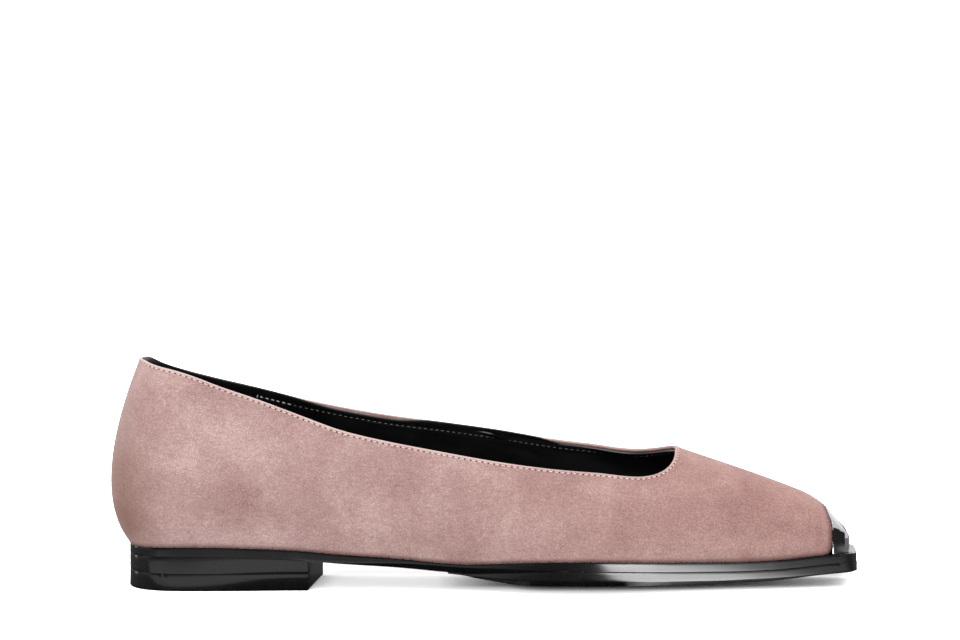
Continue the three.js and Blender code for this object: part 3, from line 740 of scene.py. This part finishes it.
# dark discs of painted shade where the thread goes into the suede
collarHoleShades = placeCopies("collar_hole_shades", makeTemplate(stitchSettings["holeShade"], 8, 4), holeFrames)
print("collar sewn:", stitchCount, "stitches over", round(perimeter / mm), "mm")

# ---- lining: black leather inside, a little lower than the fold

# every rise and fall is in mm, and every fade runs between two places along the shoe or across it
liningSettings = {
    "drop": 0.3 * mm, "dropReach": 3 * mm, "creaseFade": 0.008, "pucker": 0.1 * mm, "sewnAt": 1.5 * mm,
    "waistRise": 1.35, "waistUp": (-0.034, -0.018), "waistDown": (0.018, 0.03),
    "heelRise": 1.35, "heelDown": (-0.074, -0.05), "throatFall": 0.6, "throatDown": (0.032, 0.045),
    "stitchLow": 2.0 * mm, "stitchOut": 0.06 * mm, "clearOfGrip": 1.5 * mm, "strongReach": 13 * mm,
    "stitch": (0.55 * mm, 0.12 * mm, 0.12 * mm), "strongStitch": (0.62 * mm, 0.24 * mm, 0.2 * mm),
}
gripSettings = {
    "seamAt": -0.0815, "seamSlant": 0.12, "thickness": 0.5 * mm, "lift": 0.12 * mm,
    "rise": 0.35, "innerRise": 0.9, "innerFade": (0, 0.01), "backFall": 0.4, "backFade": (-0.1245, -0.118),
    "rimReach": 2 * mm, "bevel": 0.14 * mm, "bevelAngle": 50,
}
innerRings = sorted(openRings(liningInner), key=lambda ring: ring[:, 2].mean())
liningCollar = collarFrame(innerRings[-1], innerSurface)

# soft creases of the lining: x, y side, height, length and half width, lean, depth in mm
liningCreases = [
    (3.5, 1, 51.8, 9, 1.1, -0.19, 1.05), (-6, 1, 46.5, 20, 2.2, -0.1, -0.3),
    (14, 1, 44.5, 12, 1.8, -0.3, 0.3), (-30, 1, 50.0, 14, 2.0, -0.2, 0.22),
    (30, 1, 45.5, 14, 2.0, 0.05, -0.25), (-50, 1, 55.0, 16, 2.4, -0.3, 0.2),
    (48, 1, 43.0, 12, 2.2, 0.1, 0.22), (-4, -1, 40.0, 18, 2.4, -0.1, 0.3),
    (22, -1, 36.0, 16, 2.4, 0.0, -0.25), (-40, -1, 44.0, 16, 2.4, -0.2, 0.25),
    (54, 1, 36.0, 12, 2.6, 0.3, -0.2), (-66, -1, 50.0, 14, 2.4, -0.3, 0.2),
]


def creaseDepth(points):
    depth = np.zeros(len(points))
    for x, side, z, length, wide, lean, deep in liningCreases:
        dx = points[:, 0] / mm - x
        dz = points[:, 2] / mm - z - lean * dx - 0.6 * np.sin(dx / 3.1 + x)
        onSide = step(points[:, 1] * side, 0, liningSettings["creaseFade"])
        depth += deep * mm * np.exp(-(dx / length * 1.6) ** 2 - (dz / wide) ** 2) * onSide
    return depth


applyModifier(liningInner, "SUBSURF", levels=1, render_levels=1, subdivision_type="SIMPLE")
points = vertexArray(liningInner)
normals = np.array([v.normal[:] for v in liningInner.data.vertices])
points += normals * creaseDepth(points)[:, None]
rimPoints, rimFaces = ribbon(innerRings[-1], 0.0002)
nearCollar = BVHTree.FromPolygons([Vector(p) for p in rimPoints], rimFaces)
away = np.array([nearCollar.find_nearest(Vector(p))[3] for p in points])
points[:, 2] -= liningSettings["drop"] * (1 - step(away, 0, liningSettings["dropReach"]))
setVertices(liningInner, points)
thicken(liningInner, upperSettings["liningThickness"], -1)

# the lining's own sewn edge, puffed between the stitches; it rolls over the fold at the inner waist
edgeProfile = [
    (3.6, -0.12), (3.0, 0.06), (2.5, 0.1), (2.1, -0.04), (1.7, 0.08), (1.2, 0.16), (0.6, 0.12), (0.22, -0.05),
    (0.1, -0.3), (0.2, -0.5), (1.2, -0.52),
]


def liningLift(x, y):
    # how far the edge stands above the fold, in metres: only on the inner side
    if y < 0:
        return 0.0
    settings = liningSettings
    waist = settings["waistRise"] * step(x, *settings["waistUp"]) * (1 - step(x, *settings["waistDown"]))
    heel = settings["heelRise"] * (1 - step(x, *settings["heelDown"]))
    return float(waist + heel - settings["throatFall"] * step(x, *settings["throatDown"])) * mm


liningEdge = rollBand("lining_edge", liningCollar, innerSurface, edgeProfile, liningSettings["pucker"],
                      liningSettings["sewnAt"], liningLift)
_, liningAlong, liningOutward, _ = liningCollar
liningFrames, strongFrames = [], []
for index in range(0, ringCount, collarSettings["perStitch"]):
    place = surfacePoint(liningCollar, innerSurface, index, liningSettings["stitchLow"],
                         liningSettings["stitchOut"])
    if place[0] > gripSettings["seamAt"] + liningSettings["clearOfGrip"]:
        byTheGrip = place[0] < gripSettings["seamAt"] + liningSettings["strongReach"]
        chosen = strongFrames if byTheGrip else liningFrames
        chosen.append((place, liningAlong[index], liningOutward[index]))
for side in (1, -1):
    # one upright stitch where the heel grip's seam meets the row
    onSide = [each for each in strongFrames if each[0][1] * side > 0]
    place, along, outward = min(onSide, key=lambda each: each[0][0])
    backwards = along if along[0] < 0 else -along
    place = place + backwards * liningSettings["clearOfGrip"]
    strongFrames.append((place, unit(np.cross(outward, along)), outward))
liningStitches = placeCopies("lining_stitches", makeTemplate(liningSettings["stitch"]), liningFrames)
gripStitches = placeCopies("lining_stitches_by_the_grip", makeTemplate(liningSettings["strongStitch"]),
                           strongFrames)
print("lining sewn:", len(liningFrames) + len(strongFrames), "stitches")

# ---- heel grip: a second layer of lining leather round the back, sewn down at its front edges

heelGrip = copyNode("upper", "heel_grip")
keepSheet(heelGrip, upperSettings["innerSeed"], (0, 1, 0))
applyModifier(heelGrip, "SUBSURF", levels=upperSettings["levels"], render_levels=upperSettings["levels"])
activate(heelGrip)
bpy.ops.object.mode_set(mode="EDIT")
bpy.ops.mesh.select_all(action="SELECT")
bpy.ops.mesh.bisect(plane_co=(gripSettings["seamAt"], 0, 0.05), plane_no=(1, 0, gripSettings["seamSlant"]),
                    clear_outer=True)
bpy.ops.object.mode_set(mode="OBJECT")
normals = np.array([v.normal[:] for v in heelGrip.data.vertices])
points = vertexArray(heelGrip) + normals * gripSettings["lift"]
away = np.array([nearCollar.find_nearest(Vector(p))[3] for p in points])
forward = step(points[:, 0], *gripSettings["backFade"])
toInner = step(points[:, 1], *gripSettings["innerFade"])
raised = (gripSettings["rise"] + gripSettings["innerRise"] * toInner) * forward
raised -= gripSettings["backFall"] * (1 - forward)
points[:, 2] += raised * mm * (1 - step(away, 0, gripSettings["rimReach"]))
setVertices(heelGrip, points)
thicken(heelGrip, gripSettings["thickness"], 1)
applyModifier(heelGrip, "BEVEL", width=gripSettings["bevel"], segments=2, limit_method="ANGLE",
              angle_limit=math.radians(gripSettings["bevelAngle"]), use_clamp_overlap=False)
print("heel grip laid in")

# ---- toe cap, insole, sole layers and heel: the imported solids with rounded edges

# node, piece, edge radius in mm, levels of subdivision, segments of an edge, least fold of an edge, and how
# far the top is raised in mm, so that the gap above a layer shows as a hairline
roundings = [
    ("toe_tip", "toe_cap", 0.16, 0, 2, 32, 0), ("insole", "sock", 0.5, 1, 3, 30, 0),
    ("midsole", "sole_layer", 0.08, 2, 2, 30, 0.16), ("outsole", "fore_sole", 0.08, 2, 2, 22, 0.22),
    ("heel", "heel_block", 0.1, 2, 2, 30, 0.24), ("top_piece", "heel_top_piece", 0.12, 2, 2, 30, 0.26),
]


def roundSolid(nodeName, name, radius, levels, segments, fold, rise):
    piece = copyNode(nodeName, name)
    activate(piece)
    bpy.ops.object.mode_set(mode="EDIT")
    bpy.ops.mesh.select_mode(type="EDGE")
    bpy.ops.mesh.select_all(action="DESELECT")
    bpy.ops.mesh.edges_select_sharp(sharpness=math.radians(fold))
    bpy.ops.object.mode_set(mode="OBJECT")
    layer = piece.data.attributes.new("crease_edge", "FLOAT", "EDGE")
    layer.data.foreach_set("value", [float(edge.select) for edge in piece.data.edges])
    if levels:
        applyModifier(piece, "SUBSURF", levels=levels, render_levels=levels)
    applyModifier(piece, "BEVEL", width=radius * mm, segments=segments, limit_method="ANGLE",
                  angle_limit=math.radians(fold), use_clamp_overlap=False)
    if rise:
        points = vertexArray(piece)
        normals = np.array([v.normal[:] for v in piece.data.vertices])
        points[:, 2] += rise * mm * (normals[:, 2] > 0.2)
        setVertices(piece, points)
    return piece


toeCap, sock, soleLayer, foreSole, heelBlock, heelPiece = (roundSolid(*row) for row in roundings)
print("solids rounded")

# ---- finishes and what each piece stands for

# piece, its materials, slot, angle up to which its faces are smooth, and the solid that it stands for
finishes = [
    (suedeUpper, [suede], "suede", 50, ["upper"]),
    (collarFold, [suede], "suede", 180, []),
    (collarStitches, [suedeThread], "suede", 180, []),
    (collarHoleShades, [stitchHoleShade], "suede", 180, []),
    (liningInner, [liningLeather], "lining_leather", 50, []),
    (liningEdge, [liningLeather], "lining_leather", 180, []),
    (liningStitches, [liningThread], "lining_leather", 180, []),
    (gripStitches, [whiteThread], "lining_leather", 180, []),
    (heelGrip, [liningLeather], "lining_leather", 50, []),
    (toeCap, [tipMetal], "tip_metal", 20, ["toe_tip"]),
    (sock, [sockLeather], "lining_leather", 40, ["insole"]),
    (soleLayer, [soleEdge], "sole_edge", 22, ["midsole"]),
    (foreSole, [soleEdge, tread], "tread", 22, ["outsole"]),
    (heelBlock, [soleEdge], "sole_edge", 22, ["heel"]),
    (heelPiece, [soleEdge, tread], "tread", 22, ["top_piece"]),
]
for piece, materials, slotName, angle, nodes in finishes:
    for material in materials:
        piece.data.materials.append(material)
    if len(materials) == 2:
        # the second one is underneath
        for face in piece.data.polygons:
            face.material_index = 1 if face.normal.z < -0.6 else 0
    activate(piece)
    bpy.ops.object.shade_smooth_by_angle(angle=math.radians(angle))
    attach(piece, "root")
    if nodes:
        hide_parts(*nodes)
print("pieces finished")

# ---- floor, lights and surroundings

studio = {
    "floorSize": 60.0, "worldStrength": 1.1, "glossStrength": 1.1,
    "floorSeen": (1.9, 1.9, 1.9), "floorElsewhere": (0.72, 0.72, 0.72, 1), "floorGlow": 0.64,
    "contactReach": 0.0019, "underReach": 0.0075, "underFrom": -0.022, "underTo": -0.008,
    "top": {"place": (0.1, -0.2, 1.8), "target": (0, 0, 0), "size": 1.6, "power": 14.0},
    "front": {"place": (-0.5, -2.4, 1.2), "target": (0, 0, 0.03), "size": 1.6, "power": 12.0},
    # patches: strength, then for each edge its axis and the two places between which it grows to full
    # painted shadow on the floor: darker patches behind the arch and under the toe
    "paintedFloorShadow": [
        (0.6, [("Y", 0.0, 0.034), ("Y", 0.1, 0.045), ("X", -0.1, -0.05), ("X", 0.04, -0.01)]),
        (0.75, [("Y", -0.005, 0.025), ("Y", 0.058, 0.036), ("X", 0.1, 0.124), ("X", 0.144, 0.127)]),
    ],
    # planes that only glossy parts mirror: left and near corner, right and far corner, height
    "mirroredFloor": ((-0.2, -0.25), (0.2, -0.034), 0.0004),
    "table": ((-0.7, -0.19), (0.7, 0.51), 0.0002),
    "mirrored": [
        (7.8, [("X", 0.05, 0.062), ("X", 0.137, 0.108), ("Y", -0.185, -0.172)]),
        (8.5, [("X", 0.05, 0.062), ("X", 0.137, 0.108), ("Y", -0.105, -0.135), ("Y", -0.185, -0.172)]),
        (0.6, [("X", 0.1, 0.13), ("X", 0.17, 0.15), ("Y", -0.14, -0.12)]),
        (0.16, [("X", 0.0, -0.03)]),
        (0.42, [("X", 0.0, -0.03), ("Y", -0.12, -0.08)]),
    ],
    "tableShadowedGlow": 0.01, "tableGlow": 0.16, "tableTo": 0.1,
    "darkFront": 0.03, "frontFade": (-0.05, -0.35), "topFade": (0.62, 0.5),
}


def addPatches(tree, axes, patches):
    # the sum of soft-edged patches of a plane
    total = 0.0
    for strength, fades in patches:
        for axis, dark, bright in fades:
            strength = doMath(tree, "MULTIPLY", remap(tree, axes[axis], dark, bright, soft=True), strength)
        total = doMath(tree, "ADD", strength, total)
    return total


deselectAll()
bpy.ops.mesh.primitive_plane_add(size=studio["floorSize"])
floor = bpy.context.object
floor.name = "floor"
floor.visible_glossy = False
floorMaterial, floorTree, floorShader = newMaterial("paleFloor", Roughness=1.0, Specular_IOR_Level=0.0)
floorAxes = objectAxes(floorTree)
# the floor's glow is blocked close to the shoe, and under the raised sole from further off
contact = addNode(floorTree, "ShaderNodeAmbientOcclusion", {"Distance": studio["contactReach"]}, samples=8)
under = addNode(floorTree, "ShaderNodeAmbientOcclusion", {"Distance": studio["underReach"]}, samples=8)
inside = remap(floorTree, floorAxes["Y"], studio["underFrom"], studio["underTo"])
blocked = mixColours(floorTree, inside, contact.outputs["Color"], under.outputs["Color"])
floorTree.links.new(blocked, floorShader.inputs["Emission Color"])
# the painted shadow patches dim both the floor's colour and its glow
lit = doMath(floorTree, "SUBTRACT", 1.0, addPatches(floorTree, floorAxes, studio["paintedFloorShadow"]))
glow = doMath(floorTree, "MULTIPLY", lit, studio["floorGlow"])
floorTree.links.new(glow, floorShader.inputs["Emission Strength"])
shaded = addNode(floorTree, "ShaderNodeVectorMath", {0: studio["floorSeen"], "Scale": lit},
                 operation="SCALE")
floorTree.links.new(shaded.outputs[0], floorShader.inputs["Base Color"])
plainFloor = addNode(floorTree, "ShaderNodeBsdfDiffuse", {"Color": studio["floorElsewhere"]}).outputs[0]
ray = addNode(floorTree, "ShaderNodeLightPath")
seenFloor = mixShaders(floorTree, ray.outputs["Is Camera Ray"], plainFloor, floorShader.outputs[0])
# from below the floor is clear, so the underside of the shoe can be seen
geometry = addNode(floorTree, "ShaderNodeNewGeometry")
clearFloor = addNode(floorTree, "ShaderNodeBsdfTransparent").outputs[0]
floorSurface = mixShaders(floorTree, geometry.outputs["Backfacing"], seenFloor, clearFloor)
floorTree.links.new(floorSurface, floorTree.nodes["Material Output"].inputs["Surface"])
floor.data.materials.append(floorMaterial)


def addGlowPlane(name, materialName, corners):
    (left, near), (right, far), height = corners
    piece = addMesh(name, [(left, near, height), (right, near, height), (right, far, height),
                           (left, far, height)], [(0, 1, 2, 3)])
    piece.visible_camera = piece.visible_diffuse = piece.visible_shadow = False
    material, tree, shader = newMaterial(materialName, Roughness=1.0, Base_Color=(0, 0, 0, 1),
                                         Emission_Color=(1, 1, 1, 1))
    piece.data.materials.append(material)
    return tree, objectAxes(tree), shader.inputs["Emission Strength"]


# the polished parts see a small grey table and a dark room in front
tableTree, tableAxes, tableStrength = addGlowPlane("table_in_reflections", "greyTable", studio["table"])
# the table's glow falls off from the toe back towards the heel: a painted shadow of the shoe on the table
tableGlowShadedByShoe = remap(tableTree, tableAxes["X"], 0.0, studio["tableTo"], studio["tableShadowedGlow"], studio["tableGlow"])
tableTree.links.new(tableGlowShadedByShoe, tableStrength)

# parts of the floor that only the sole's glossy edge mirrors: bright beside the forefoot, dim beside the heel
mirroredTree, mirroredAxes, mirroredStrength = addGlowPlane("floor_in_reflections", "mirroredFloor",
                                                            studio["mirroredFloor"])
mirroredTree.links.new(addPatches(mirroredTree, mirroredAxes, studio["mirrored"]), mirroredStrength)


def addArea(name, place, target, size, power):
    data = bpy.data.lights.new(name, "AREA")
    data.shape = "SQUARE"
    data.size = size
    data.energy = power
    light = bpy.data.objects.new(name, data)
    bpy.context.collection.objects.link(light)
    light.location = place
    light.rotation_euler = (Vector(target) - Vector(place)).to_track_quat("-Z", "Y").to_euler()
    light.visible_camera = False


addArea("topSoftbox", **studio["top"])
addArea("frontSoftbox", **studio["front"])

world = bpy.data.worlds.new("paleStudio")
bpy.context.scene.world = world
world.use_nodes = True
worldTree = world.node_tree
evenLight = worldTree.nodes["Background"]
evenLight.inputs["Color"].default_value = (1, 1, 1, 1)
evenLight.inputs["Strength"].default_value = studio["worldStrength"]
direction = addNode(worldTree, "ShaderNodeTexCoord")
axes = addNode(worldTree, "ShaderNodeSeparateXYZ", {0: direction.outputs["Generated"]}).outputs
toFront = remap(worldTree, axes["Y"], *studio["frontFade"], soft=True)
toTop = remap(worldTree, axes["Z"], *studio["topFade"], soft=True)
darkPart = doMath(worldTree, "MULTIPLY", toFront, toTop)
glossStrength = remap(worldTree, darkPart, low=studio["glossStrength"], high=studio["darkFront"])
glossLight = addNode(worldTree, "ShaderNodeBackground", {"Strength": glossStrength})
worldRay = addNode(worldTree, "ShaderNodeLightPath")
worldLight = mixShaders(worldTree, worldRay.outputs["Is Glossy Ray"], evenLight.outputs[0],
                        glossLight.outputs[0])
worldTree.links.new(worldLight, worldTree.nodes["World Output"].inputs["Surface"])
bpy.context.scene.view_settings.view_transform = "Standard"
print("studio lit")
